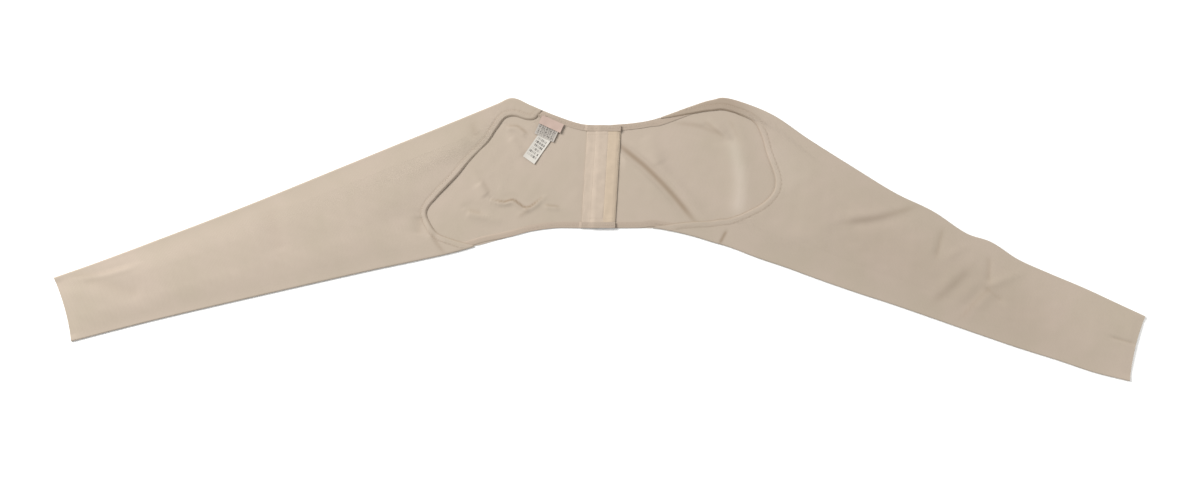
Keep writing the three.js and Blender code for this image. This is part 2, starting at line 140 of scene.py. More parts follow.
rightHalf["creases"] = [
    ("under", "groove", -2.6, 5.8, 0.3,
     [(0.02, 0.14), (0.16, 0.28), (0.3, 0.42), (0.5, 0.66), (0.72, 0.9)]),
    ("under", "ridge", 1.2, 9, 0.0, [(0.304, 0.125), (0.428, 0.432)]),
    ("under", "tuck", 1.3, 5, 0.08, [(0.54, 0.087), (0.74, 0.17), (0.936, 0.257)]),
    # Painted light along this ridge: its shade is negative
    ("under", "ridge", 1.0, 14, -0.16, [(1.0, 0.25), (1.025, 0.5), (1.02, 0.8)]),
    ("under", "tuck", 1.2, 4, 0.08, [(0.78, 0.137), (0.952, 0.263)]),
    ("under", "tuck", 1.0, 4, 0.06, [(0.989, 0.135), (1.022, 0.263)]),
    ("over", "ridge", -1.5, 3.4, 0.3, [(0.909, 0.996), (0.968, 0.894)]),
    ("over", "tuck", 1.0, 5.5, 0.1, [(1.275, 0.46), (1.34, 0.29), (1.415, 0.02)]),
    ("over", "ridge", -0.9, 4.5, 0.09, [(1.486, 0.098), (1.497, 0.39)]),
    ("over", "ridge", 0.8, 5, 0.0, [(1.564, 0.045), (1.516, 0.352)]),
    ("over", "ridge", -0.8, 4.5, 0.08, [(1.608, 0.156), (1.629, 0.42)]),
    ("over", "ridge", 1.0, 5, 0.0, [(1.701, 0.063), (1.626, 0.475)]),
    ("over", "tuck", 0.6, 5.5, 0.07, [(1.64, 0.42), (1.625, 0.6), (1.6, 0.93)]),
    ("over", "tuck", -0.5, 7, 0.05, [(1.578, 0.34), (1.555, 0.6), (1.53, 0.86)]),
    ("over", "ridge", -1.0, 4, 0.05, [(1.626, 0.475), (1.677, 0.537)]),
    ("over", "ridge", -0.8, 2.2, 0.1, [(1.932, 0.466), (1.992, 0.442)]),
    # Broad painted shade over the forearm, and broad painted light at the shoulder
    ("over", "ridge", -0.3, 75, 0.05, [(1.22, 0.5), (1.85, 0.68)]),
    ("over", "ridge", 0.3, 50, -0.04, [(1.08, 0.2), (1.16, 0.4)]),
]

creasing = {
    "knots": 16, "reach": 4, "liftEnds": 0.16, "tuckEnd": 0.25, "ridgeEnd": 0.35,
    "lip": 0.55, "lipAt": 1.9, "lipWidth": 1.2,    # of a groove, in its half-widths
    "shadeWidth": 0.55, "shadeEnds": 0.2, "shadeEnd": 0.3,
}


def mixed(a, b, share):
    return a + (b - a) * share


def smoothStep(low, high, value):
    t = np.clip((value - low) / (high - low), 0, 1)
    return t * t * (3 - 2 * t)


def lengths(vectors):
    return np.sqrt((vectors ** 2).sum(axis=-1))


# Section ends of one half, in plan: outward from the centre back, and up the page
def addSections(half):
    ats, uppers, lowers = [], [], []

    def addSection(at, outward, rise, top, bottom, lean):
        tilt = math.radians(lean)
        across = np.array([math.sin(tilt), math.cos(tilt)])
        ats.append(at)
        uppers.append(np.array([outward, rise]) + across * top)
        lowers.append(np.array([outward, rise]) - across * bottom)

    height = garment["backHeight"]
    for out, top, bottom, lean in half["backRows"]:
        outward = mixed(half["panelEnd"], half["backReach"], out)
        addSection(out, outward, 0, top * height, bottom * height, lean)
    droop = math.radians(half["droop"])
    for along, top, bottom, lean in half["sleeveRows"]:
        reach = along * garment["sleeveLength"]
        width = mixed(garment["armholeWidth"], garment["cuffWidth"], along)
        outward = half["backReach"] + reach * math.cos(droop)
        addSection(1 + along, outward, -reach * math.sin(droop), top * width, bottom * width, lean)
    half["ats"] = np.array(ats)
    half["uppers"] = np.array(uppers)
    half["lowers"] = np.array(lowers)


# Smooth curve through one end of every section
def throughSections(half, ends, at):
    ats = half["ats"]
    numbers = np.arange(len(ats))
    before = np.clip(numbers - 1, 0, len(ats) - 1)
    after = np.clip(numbers + 1, 0, len(ats) - 1)
    slopes = (ends[after] - ends[before]) / (ats[after] - ats[before])[:, None]
    i = np.searchsorted(ats[1:-1], at)
    span = (ats[i + 1] - ats[i])[..., None]
    t = (at - ats[i])[..., None] / span
    return (ends[i] * (2 * t ** 3 - 3 * t ** 2 + 1) + slopes[i] * span * (t ** 3 - 2 * t ** 2 + t)
            + ends[i + 1] * (3 * t ** 2 - 2 * t ** 3) + slopes[i + 1] * span * (t ** 3 - t ** 2))


def section(half, at):
    at = np.asarray(at, float)
    upper = throughSections(half, half["uppers"], at)
    lower = throughSections(half, half["lowers"], at)
    return upper, lower, lengths(upper - lower)


def planOf(half, at, across, inset=0.0):
    upper, lower, width = section(half, at)
    share = np.asarray(inset / width)
    return mixed(upper, lower, mixed(share, 1 - share, np.asarray(across))[..., None])


# Points along a centripetal Catmull-Rom curve through the knots, evenly spaced
def smoothCurve(knots, count):
    knots = np.asarray(knots, float)
    samples = 24
    ends = [2 * knots[0] - knots[1], *knots, 2 * knots[-1] - knots[-2]]
    dense = []
    for p0, p1, p2, p3 in zip(ends, ends[1:], ends[2:], ends[3:]):
        d0, d1, d2 = (max(float(lengths(b - a)) ** 0.5, 1e-6) for a, b in ((p0, p1), (p1, p2), (p2, p3)))
        out = ((p1 - p0) / d0 - (p2 - p0) / (d0 + d1) + (p2 - p1) / d1) * d1
        into = ((p2 - p1) / d1 - (p3 - p1) / (d1 + d2) + (p3 - p2) / d2) * d1
        t = np.linspace(0, 1, samples, endpoint=False)[:, None]
        dense.append(p1 * (2 * t ** 3 - 3 * t ** 2 + 1) + out * (t ** 3 - 2 * t ** 2 + t)
                     + p2 * (3 * t ** 2 - 2 * t ** 3) + into * (t ** 3 - t ** 2))
    dense = np.concatenate([*dense, knots[-1:]])
    return evenly(dense, count)


def arcOf(points):
    return np.concatenate([[0], np.cumsum(lengths(np.diff(points, axis=0)))])


def evenly(points, count):
    arc = arcOf(points)
    at = np.linspace(0, arc[-1], count)
    return np.stack([np.interp(at, arc, points[:, k]) for k in range(points.shape[1])], axis=1)


# Free edge of the front layer as counted points, each a place (at, across)
def freeEdge(half, steps):
    scale = np.array([half["backReach"], garment["backHeight"]])
    dense = smoothCurve(np.array(half["edgeRows"]) * scale, fabric["edgeSamples"]) / scale
    share = (np.linspace(0, 1, len(dense)) + dense[:, 1]) / 2
    share = np.maximum.accumulate(share)
    wanted = np.linspace(0, 1, steps + 1)
    at = np.interp(wanted, share, dense[:, 0])
    across = np.clip(np.interp(wanted, share, dense[:, 1]), 0, 1)
    across[0], across[-1] = 0, 1
    return at, across


def crown(across):
    return smoothStep(0, garment["crownShare"], np.minimum(across, 1 - across))


def loft(reach, across):
    full, stop = garment["loftEnds"]
    swell = smoothStep(0, full, reach) * (1 - smoothStep(stop, 1, reach))
    mouth = np.where(reach < 0.5, garment["cuffLoft"], garment["openingLoft"])
    return crown(across) * mixed(mouth, garment["sleeveLoft"], swell)


# Distance and side of each place from a path in plan, and how far along it the nearest point is
def fromPath(place, path):
    best = np.full(place.shape[:-1], 1e9)
    side = np.zeros_like(best)
    along = np.zeros_like(best)
    arc = arcOf(path)
    for i in range(len(path) - 1):
        run = path[i + 1] - path[i]
        away = place - path[i]
        share = np.clip((away @ run) / (run @ run), 0, 1)
        distance = lengths(away - share[..., None] * run)
        nearer = distance < best
        best = np.where(nearer, distance, best)
        cross = run[0] * away[..., 1] - run[1] * away[..., 0]
        side = np.where(nearer, np.sign(cross), side)
        along = np.where(nearer, (arc[i] + share * (arc[i + 1] - arc[i])) / arc[-1], along)
    return best, side, along


# Every crease of one layer, with how each place lies to its path
def creasesAt(half, layer, place):
    for onLayer, kind, height, width, shade, path in half["creases"]:
        if onLayer == layer:
            line = smoothCurve([planOf(half, at, across) for at, across in path], creasing["knots"])
            yield kind, height, width, shade, *fromPath(place, line)


def fadedEnds(along, part):
    return smoothStep(0, part, along) * (1 - smoothStep(1 - part, 1, along))


def creaseLift(half, layer, place):
    lift = np.zeros(place.shape[:-1])
    for kind, height, width, _, distance, side, along in creasesAt(half, layer, place):
        fade = fadedEnds(along, creasing["liftEnds"])
        d = distance / width
        if kind == "tuck":
            profile = side * d * np.exp(0.5 - d * d / 2) * mixed(creasing["tuckEnd"], 1, fade)
        elif kind == "groove":
            lip = np.exp(-((d - creasing["lipAt"]) / creasing["lipWidth"]) ** 2)
            profile = np.exp(-d * d) - creasing["lip"] * lip
        else:
            profile = np.exp(-d * d) * mixed(creasing["ridgeEnd"], 1, fade)
        lift += height * profile * (d < creasing["reach"])
    return lift


# Painted shade along the creases: how much darker the knit is coloured there, and painted light where the
# amount is negative
def creasePaintedShade(half, layer, place):
    total = np.zeros(place.shape[:-1])
    for _, _, width, shade, distance, _, along in creasesAt(half, layer, place):
        fade = mixed(creasing["shadeEnd"], 1, fadedEnds(along, creasing["shadeEnds"]))
        total += shade * fade * np.exp(-(distance / (creasing["shadeWidth"] * width)) ** 2)
    return total


# Slow unevenness of a cloth that was unfolded and smoothed by hand
def ripple(place, seed, wave):
    random = np.random.default_rng(seed)
    total = np.zeros(place.shape[:-1])
    for _ in range(fabric["waves"]):
        turn = random.uniform(0, math.pi)
        phase = random.uniform(0, 2 * math.pi)
        length = wave * random.uniform(*fabric["waveSpread"])
        run = place @ np.array([math.cos(turn), math.sin(turn)])
        total += np.sin(2 * math.pi * run / length + phase)
    return total / math.sqrt(fabric["waves"])


fabric = {
    "underRipple": 0.32, "overRipple": 0.3, "slowWave": 70, "quickRipple": 0.07, "quickWave": 17,
    "waves": 10, "waveSpread": (0.7, 1.6),
    "underSwell": 0.5,         # how unevenly the back layer lies
    "underRest": 0.7,          # how much of that stands up from the ground
    "bandWidth": 7.2, "bandRise": 0.12, "bandRamp": 1.6, "bandFall": 1.4,
    "bandGroove": 0.14, "grooveWidth": 1.1, "pucker": 0.1, "puckerPitch": 5.5, "puckerReach": 4.5,
    "rimDroop": 0.85, "rimWidth": 2.2, "rimShade": 0.2, "rimShadeWidth": 1.3,
    "seamShade": 0.07, "seamShadeWidth": 1.0,
    "bandEnds": 0.06, "shadeEnds": 0.03,                     # parts of the width where they fade in
    "stripAts": (1.0, 1.07), "stripAcross": (0.12, 0.22),    # where the strip's painted shade fades out
    "tubeRows": 180, "backRows": 60, "columns": 76, "foldColumns": 6,
    "rowBias": 1.3,            # above 1 the rows draw together towards the free edge
    "edgeSamples": 1200, "edgePoints": 700,
}


def underHeight(half, place, across):
    calm = smoothStep(garment["calmFrom"], garment["calmTo"], place[..., 0])
    swell = fabric["underSwell"] * ripple(place, half["seed"], fabric["slowWave"])
    soft = fabric["underRipple"] * (1 + swell)
    soft = soft + fabric["quickRipple"] * ripple(place, half["seed"] + 1, fabric["quickWave"])
    lift = np.maximum(0, soft * fabric["underRest"] + creaseLift(half, "under", place))
    return garment["fabricSpace"] / 2 + lift * crown(across) * calm


# How far each place is from the free edge, and how far along the edge
def fromEdge(half, place):
    tree = half["edgeTree"]
    found = [tree.find((x, y, 0)) for x, y in place.reshape(-1, 2)]
    distance = np.array([item[2] for item in found]).reshape(place.shape[:-1])
    return distance, half["edgeArc"][[item[1] for item in found]].reshape(place.shape[:-1])


# How far the free edge lies down towards the back layer
def rimFall(distance):
    return fabric["rimDroop"] * (1 - smoothStep(0, fabric["rimWidth"], distance))


# Height that the sewn elastic gives the front layer: a flat band with a stitched groove behind it
def bandLift(distance, run):
    width = fabric["bandWidth"]
    band = smoothStep(0, fabric["bandRamp"], distance)
    band = band * (1 - smoothStep(width - fabric["bandFall"], width, distance))
    groove = np.exp(-((distance - width) / fabric["grooveWidth"]) ** 2)
    gather = np.exp(-((distance - width) / fabric["puckerReach"]) ** 2)
    gather = gather * np.sin(2 * math.pi * run / fabric["puckerPitch"])
    return (fabric["bandRise"] * band - fabric["bandGroove"] * groove + fabric["pucker"] * gather
            - rimFall(distance))


# Painted shade: the band is coloured a little darker along its rim, for the shadow under the free edge, and
# along its stitches
def bandPaintedShade(distance):
    rim = np.exp(-(distance / fabric["rimShadeWidth"]) ** 2)
    seam = np.exp(-((distance - fabric["bandWidth"]) / fabric["seamShadeWidth"]) ** 2)
    return fabric["rimShade"] * rim + fabric["seamShade"] * seam


def overHeight(half, place, reach, across, distance, run):
    soft = fabric["overRipple"] * ripple(place, half["seed"] + 2, fabric["slowWave"])
    soft = soft + fabric["quickRipple"] * ripple(place, half["seed"] + 3, fabric["quickWave"])
    lift = (soft + creaseLift(half, "over", place)) * crown(across)
    fromFold = np.minimum(across, 1 - across)
    band = bandLift(distance, run) * smoothStep(0, fabric["bandEnds"], fromFold)
    droop = (1 - smoothStep(0, garment["cuffRim"], reach)) * smoothStep(0, garment["cuffFolds"], fromFold)
    lift = lift + band - garment["cuffDroop"] * droop
    return garment["fabricSpace"] / 2 + garment["foldHeight"] + loft(reach, across) + lift


def inFrame(half, place, z):
    x = (half["side"] * place[..., 0]) * mm + closureMiddle[0]
    y = place[..., 1] * mm + closureMiddle[1]
    return np.stack([x, y, np.broadcast_to(z, x.shape) * mm], axis=-1)


def addObject(name, data):
    item = bpy.data.objects.new(name, data)
    bpy.context.scene.collection.objects.link(item)
    return item


# A sheet of middle-surface points and quads becomes a closed wall of the given thickness
def wallMesh(name, points, quads, uvs, thickness):
    triangles = np.concatenate([quads[:, [0, 1, 2]], quads[:, [0, 2, 3]]])
    a, b, c = (points[triangles[:, k]] for k in range(3))
    facing = np.cross(b - a, c - a)
    normals = np.zeros_like(points)
    for k in range(3):
        np.add.at(normals, triangles[:, k], facing)
    normals /= np.maximum(lengths(normals), 1e-15)[:, None]
    count = len(points)
    starts = quads.reshape(-1)
    stops = np.roll(quads, -1, axis=1).reshape(-1)
    rim = ~np.isin(stops * count + starts, starts * count + stops)
    cornerUvs = uvs.reshape(-1, 2)
    nextUvs = np.roll(uvs, -1, axis=1).reshape(-1, 2)
    rimFaces = np.stack([stops[rim], starts[rim], starts[rim] + count, stops[rim] + count], axis=1)
    rimUvs = np.stack([nextUvs[rim], cornerUvs[rim], cornerUvs[rim], nextUvs[rim]], axis=1)
    faces = np.concatenate([quads, quads[:, ::-1] + count, rimFaces])
    faceUvs = np.concatenate([uvs, uvs[:, ::-1], rimUvs])
    half = normals * thickness * mm / 2
    mesh = bpy.data.meshes.new(name)
    mesh.from_pydata(np.concatenate([points + half, points - half]).tolist(), [], faces.tolist())
    layer = mesh.uv_layers.new(name="clothUV")
    layer.data.foreach_set("uv", faceUvs.reshape(-1).astype(np.float32))
    mesh.polygons.foreach_set("use_smooth", np.ones(len(faces), bool))
    mesh.update()
    mesh.set_sharp_from_angle(angle=math.radians(50))
    return addObject(name, mesh)


# The four corners of every cell of a grid, turned round on the left half so that faces point up
def cornersOf(grid, side):
    corners = np.stack([grid[:-1, :-1], grid[:-1, 1:], grid[1:, 1:], grid[1:, :-1]], axis=2)
    corners = corners.reshape(-1, 4, grid.shape[-1])
    return corners if side > 0 else corners[:, ::-1]


def gridQuads(numbers, side):
    return cornersOf(numbers[..., None], side)[..., 0]


def patchPiece(name, points, uv, thickness, side=1):
    numbers = np.arange(points.shape[0] * points.shape[1]).reshape(points.shape[:2])
    return wallMesh(name, points.reshape(-1, 3), gridQuads(numbers, side), cornersOf(uv, side), thickness)


def addValues(piece, name, values):
    attribute = piece.data.attributes.new(name, "FLOAT", "POINT")
    attribute.data.foreach_set("value", np.concatenate([values, values]).astype(np.float32))


# Painted shade: the strip rolled over along the neckline is coloured darker
def stripPaintedShade(half, at, across):
    onStrip = (1 - smoothStep(*fabric["stripAts"], at)) * (1 - smoothStep(*fabric["stripAcross"], across))
    return half["stripPaintedShade"] * onStrip


# Places (at, across) of the front layer's columns from the cuff to the free edge. The columns that
# end on a strip along an outline bend round its corner, so that none crosses another.
def overColumns(half, edgeAt, edgeAcross, shares, reach):
    at = mixed(2, edgeAt[None, :], reach)
    across = mixed(shares[None, :], edgeAcross[None, :], reach)
    n = len(shares) - 1
    upperAt, lowerAt = half["corners"]
    strips = [(np.arange(np.argmax(edgeAt >= upperAt)), np.argmax(edgeAt >= upperAt), 0)]
    if lowerAt:
        corner = n - np.argmax(edgeAt[::-1] >= lowerAt)
        strips.append((np.arange(corner + 1, n + 1), corner, 1))
    for columns, corner, end in strips:
        outer = end * n
        late = reach ** garment["stripTurn"]
        at[:, columns] = mixed(2, edgeAt[corner], reach) + (edgeAt[columns] - edgeAt[corner]) * late
        share = (columns - outer) / (corner - outer)
        turn = mixed(end, edgeAcross[corner], share)
        here = at[:, columns]
        onSleeve = mixed(shares[columns], turn, (2 - here) / (2 - edgeAt[corner]))
        past = (edgeAt[corner] - here) / (edgeAt[corner] - edgeAt[columns])
        onStrip = mixed(turn, edgeAcross[columns], past)
        across[:, columns] = np.where(here > edgeAt[corner], onSleeve, onStrip)
    return at, across


# One half of the garment: a tube from the cuff to the free edge, and the single layer beyond it
def halfSheet(half, name):
    n = fabric["columns"]
    edgeAt, edgeAcross = freeEdge(half, n)
    inset = garment["foldInset"]
    shares = np.linspace(0, 1, n + 1)
    line = mixed(edgeAt[0], edgeAt[-1], shares)
    rows = fabric["tubeRows"]
    reach = 1 - (1 - np.linspace(0, 1, rows + 1)) ** fabric["rowBias"]
    reach = reach[:, None]

    def cuffPull(place, across):
        nearCuff = 1 - smoothStep(0, garment["cuffReach"], reach)
        pull = 4 * across * (1 - across) * garment["cuffCurve"] * nearCuff
        droop = math.radians(half["droop"])
        back = np.array([-math.cos(droop), math.sin(droop)])
        return place + pull[..., None] * back

    overAt, overAcross = overColumns(half, edgeAt, edgeAcross, shares, reach)
    underAt = mixed(overAt[:, :1], overAt[:, -1:], shares)
    underAcross = np.broadcast_to(shares, underAt.shape)
    underPlace = cuffPull(planOf(half, underAt, underAcross, inset), underAcross)
    under = inFrame(half, underPlace, underHeight(half, underPlace, underAcross))

    overPlace = cuffPull(planOf(half, overAt, overAcross, inset), overAcross)
    distance, run = fromEdge(half, overPlace)
    over = inFrame(half, overPlace, overHeight(half, overPlace, reach, overAcross, distance, run))

    def foldColumns(end):
        upper, lower, width = section(half, overAt[:, end * n])
        outward = (upper - lower if end == 0 else lower - upper) / width[:, None]
        centre = (upper if end == 0 else lower) - outward * inset
        turns = np.pi * (np.arange(1, fabric["foldColumns"]) / fabric["foldColumns"] - 0.5)
        away = garment["foldRadius"] * np.cos(turns)[None, :, None] * outward[:, None, :]
        place = centre[:, None, :] + away
        z = garment["fabricSpace"] / 2 + garment["foldRadius"] * (1 + np.sin(turns))
        return inFrame(half, place, z[None, :])

    ring = [under, foldColumns(1), over[:, ::-1], foldColumns(0)[:, ::-1], under[:, :1]]
    ring = np.concatenate(ring, axis=1)
    columns = ring.shape[1] - 1
    ringNumbers = np.arange((rows + 1) * columns).reshape(rows + 1, columns)
    ringNumbers = np.concatenate([ringNumbers, ringNumbers[:, :1]], axis=1)

    # The single layer carries on from the back layer of the tube to the centre back
    reachOn = np.linspace(0, 1, fabric["backRows"] + 1)[:, None]
    panelAt = line[None, :] * (1 - reachOn)
    panelAcross = np.broadcast_to(shares, panelAt.shape)
    panelPlace = planOf(half, panelAt, panelAcross, np.maximum(0, 1 - 60 * reachOn) * inset)
    panel = inFrame(half, panelPlace, underHeight(half, panelPlace, panelAcross))
    first = (rows + 1) * columns
    panelNumbers = np.arange(first, first + fabric["backRows"] * (n + 1)).reshape(-1, n + 1)
    panelNumbers = np.concatenate([ringNumbers[-1:, :n + 1], panelNumbers])

    points = np.concatenate([ring[:, :-1].reshape(-1, 3), panel[1:].reshape(-1, 3)])
    quads = np.concatenate([gridQuads(ringNumbers, half["side"]), gridQuads(panelNumbers, half["side"])])

    # Fabric coordinates in metres: u from the lower fold round the sleeve, v from the cuff inwards
    def fabricCoordinates(grid, startV):
        u = np.zeros(grid.shape[:2])
        v = np.zeros(grid.shape[:2])
        u[:, 1:] = np.cumsum(lengths(np.diff(grid, axis=1)), axis=1)
        v[1:] = np.cumsum(lengths(np.diff(grid, axis=0)), axis=0)
        return np.stack([u - u[:, n:n + 1], startV + v], axis=-1)

    ringUv = fabricCoordinates(ring, 0)
    panelUv = fabricCoordinates(panel, ringUv[-1:, :n + 1, 1])
    uvs = np.concatenate([cornersOf(ringUv, half["side"]), cornersOf(panelUv, half["side"])])
    piece = wallMesh(name, points, quads, uvs, garment["fabricWall"])
    none = np.zeros((rows + 1, fabric["foldColumns"] - 1))
    # Painted shade and light of every point: along the creases, on the rolled strip, and at the rim and
    # stitches of the band
    overShade = creasePaintedShade(half, "over", overPlace) + stripPaintedShade(half, overAt, overAcross)
    fromFold = np.minimum(overAcross, 1 - overAcross)
    overShade = overShade + bandPaintedShade(distance) * smoothStep(0, fabric["shadeEnds"], fromFold)
    ringShade = np.concatenate([creasePaintedShade(half, "under", underPlace), none + overShade[:, -1:],
                                overShade[:, ::-1], none + overShade[:, :1]], axis=1)
    panelShade = creasePaintedShade(half, "under", panelPlace[1:])
    addValues(piece, "paintedShadeAndLight", np.concatenate([ringShade.reshape(-1), panelShade.reshape(-1)]))
    return piece


for half in (leftHalf, rightHalf):
    addSections(half)
    at, across = freeEdge(half, 600)
    edge = planOf(half, at, across, garment["foldInset"])
    half["edgeLine"] = evenly(edge, fabric["edgePoints"])
    half["edgeArc"] = arcOf(half["edgeLine"])
    tree = KDTree(len(half["edgeLine"]))
    for number, (x, y) in enumerate(half["edgeLine"]):
        tree.insert((x, y, 0), number)
    tree.balance()
    half["edgeTree"] = tree

leftSleeve = halfSheet(leftHalf, "leftSleeve")
rightSleeve = halfSheet(rightHalf, "rightSleeve")
print("sleeves", len(leftSleeve.data.polygons), len(rightSleeve.data.polygons))

# Closure: the eye tape lies over the hooks, between the elastics of the neckline and the hem
closure = {
    "lean": 3.5, "share": 1.014, "eyeWidth": 40, "eyeThickness": 0.8, "hookThickness": 1.0,
    "tuckUnder": 5.5,          # how far the tape runs on under the elastics
    "tapeStep": 1.2,           # rise of an elastic onto the tape
    "hookSide": -3.55,         # edge of the hook tape, from the centre back
    "rise": 9,                 # width of the slope up over the hooks
    "plushRise": 0.12,         # how far the brushed face stands up between its stitch rows
    "stitchRows": [-18.6, -9.8, 5.4, 18.4],
    "stitchGroove": 0.12, "grooveWidth": 0.7, "endRow": 3,
    "leftFall": 0.35, "leftFallWidth": 2,
    "rightFalls": [(0.4, 15, 18), (0.9, 18, 20)],   # the right edge lies down past the hooks
    "ripple": 0.1, "rippleWave": 16, "columns": 121, "rows": 171,
}
elastic = {
    "highestPanel": 0.75,      # the ribbon presses higher creases flat
    "straightSteps": 60, "edgeSteps": 200, "routeSmoothing": 12, "turnSmoothing": 6,
    "roomFrom": 0.8,           # along the neckline and the hem, where it moves in beside the folds
    "underFront": (0.16, 0.42, 0.6, 0.84),   # shares of its length, where it rises under the front layer
    "width": 7, "space": 0.5, "wall": 0.45, "columns": 7, "rows": 420,
    "ribPitch": 1.8, "rib": 0.05, "edgeFall": 0.1,
}
elasticMargin = elastic["width"] / 2 + garment["clearance"]
closureHeight = closure["share"] * garment["backHeight"] - 4 * elasticMargin
hookRise = closure["hookThickness"] + garment["clearance"]


def overHooks(offset):
    top = closure["hookSide"] - garment["clearance"]
    return hookRise * smoothStep(top - closure["rise"], top, offset)


# A place moved by a small step in plan, given back as at and across
def moved(half, at, across, step):
    nudge = 1e-4
    here = planOf(half, at, across)
    alongAt = (planOf(half, at + nudge, across) - here) / nudge
    alongAcross = (planOf(half, at, across + nudge) - here) / nudge
    area = alongAt[:, 0] * alongAcross[:, 1] - alongAt[:, 1] * alongAcross[:, 0]
    stepAt = (step[:, 0] * alongAcross[:, 1] - step[:, 1] * alongAcross[:, 0]) / area
    stepAcross = (alongAt[:, 0] * step[:, 1] - alongAt[:, 1] * step[:, 0]) / area
    return at + stepAt, across + stepAcross


def runOf(points):
    run = np.gradient(points, axis=0)
    return run / lengths(run)[:, None]


def smoothed(values, times):
    for _ in range(times):
        inner = (values[:-2] + 2 * values[1:-1] + values[2:]) / 4
        values = np.concatenate([values[:1], inner, values[-1:]])
    return values


# Flat elastic on the inside of the opening edge, from the closure along the neckline, round the
# front opening and back along the hem
def edgeElastic(half, name, closureEnd):
    closureAt = (closureEnd - half["panelEnd"]) / (half["backReach"] - half["panelEnd"])
    edgeAt, edgeAcross = freeEdge(half, elastic["edgeSteps"])
    steps = np.linspace(0, 1, elastic["straightSteps"], endpoint=False)
    neckAt = mixed(closureAt, edgeAt[0], steps)
    hemAt = mixed(closureAt, edgeAt[-1], steps)[::-1]
    at = np.concatenate([neckAt, edgeAt, hemAt])
    across = np.concatenate([np.zeros(len(steps)), edgeAcross, np.ones(len(steps))])
    foldRoom = garment["foldInset"] + garment["fabricSpace"]
    roomEnd = smoothStep(elastic["roomFrom"], 1, steps)
    room = np.concatenate([roomEnd, np.ones(len(edgeAt)), roomEnd[::-1]]) * foldRoom
    run = runOf(planOf(half, at, across))
    inward = np.stack([-run[:, 1], run[:, 0]], axis=1) * elasticMargin
    inAt, inAcross = moved(half, at, across, inward)
    least = (elasticMargin + room) / section(half, inAt)[2]
    inAcross = np.clip(inAcross, least, 1 - least)
    scale = np.array([half["backReach"], garment["backHeight"]])
    route = smoothed(np.stack([inAt, inAcross], axis=1) * scale, elastic["routeSmoothing"])
    route = evenly(route, elastic["rows"] + 1) / scale
    middle = planOf(half, route[:, 0], route[:, 1])
    run = smoothed(runOf(middle), elastic["turnSmoothing"])
    arc = arcOf(middle)
    share = np.linspace(0, 1, len(middle))
    rise, full, fall, gone = elastic["underFront"]
    underFront = smoothStep(rise, full, share) * (1 - smoothStep(fall, gone, share))
    offsets = np.linspace(-1, 1, elastic["columns"])
    points, uv = [], []
    for side in offsets:
        step = np.stack([-run[:, 1], run[:, 0]], axis=1) * (-side * elastic["width"] / 2)
        place = middle + step
        across = moved(half, route[:, 0], route[:, 1], step)[1]
        # The ribbon follows the panel under it, and the front layer where it is sewn under that
        panel = np.minimum(underHeight(half, place, np.clip(across, 0, 1)), elastic["highestPanel"])
        z = panel + garment["fabricSpace"] / 2 + garment["trimGap"]
        z = z + elastic["space"] / 2 + underFront * np.maximum(0, loft(1, across) - garment["trimGap"])
        if half["side"] < 0:
            offset = -place[:, 0] - place[:, 1] * math.tan(math.radians(closure["lean"]))
            tapeSide = -closure["eyeWidth"] / 2
            onTape = smoothStep(tapeSide - 2.5, tapeSide - garment["clearance"], offset)
            z = z + overHooks(offset) + closure["tapeStep"] * onTape
        edgeFall = elastic["edgeFall"] * (abs(side) > 0.9)
        rimDistance = garment["clearance"] + (1 - side) * elastic["width"] / 2
        z = z - underFront * rimFall(rimDistance)
        z = z - edgeFall + elastic["rib"] * np.sin(2 * math.pi * arc / elastic["ribPitch"])
        points.append(inFrame(half, place, z))
        uv.append(np.stack([np.full(len(arc), side * elastic["width"] / 2 * mm), arc * mm], axis=1))
    half["elasticMiddle"] = middle
    return patchPiece(name, np.stack(points, axis=1), np.stack(uv, axis=1), elastic["wall"], half["side"])


leftElastic = edgeElastic(leftHalf, "leftElastic", -closure["eyeWidth"] / 2)
rightElastic = edgeElastic(rightHalf, "rightElastic", rightHalf["panelEnd"] + garment["clearance"])
print("elastics", len(leftElastic.data.polygons), len(rightElastic.data.polygons))


def eyeTape():
    across = np.linspace(-closure["eyeWidth"] / 2, closure["eyeWidth"] / 2, closure["columns"])
    tapeReach = closureHeight / 2 + closure["tuckUnder"]
    up = np.linspace(-tapeReach, tapeReach, closure["rows"])
    offset, rise = np.meshgrid(across, up)
    sewn = garment["fabricSpace"] + garment["clearance"] + closure["eyeThickness"] / 2
    z = sewn + overHooks(offset)
    groove = sum(np.exp(-((offset - row) / closure["grooveWidth"]) ** 2) for row in closure["stitchRows"])
    endRow = closureHeight / 2 - closure["endRow"]
    groove = np.minimum(groove + np.exp(-((np.abs(rise) - endRow) / closure["grooveWidth"]) ** 2), 1)
    z = z + closure["plushRise"] - closure["stitchGroove"] * groove
    fromLeft = offset + closure["eyeWidth"] / 2
    z = z - closure["leftFall"] * (1 - smoothStep(0, closure["leftFallWidth"], fromLeft))
    for fall, start, stop in closure["rightFalls"]:
        z = z - fall * smoothStep(start, stop, offset)
    plan = np.stack([offset, rise], axis=-1)
    z = z + closure["ripple"] * ripple(plan, 5, closure["rippleWave"]) * (1 - groove)
    x = offset + rise * math.tan(math.radians(closure["lean"]))
    points = np.stack([x * mm + closureMiddle[0], rise * mm + closureMiddle[1], z * mm], axis=-1)
    return patchPiece("eyeTape", points, plan * mm, closure["eyeThickness"] * 0.9)


eyeTapePiece = eyeTape()

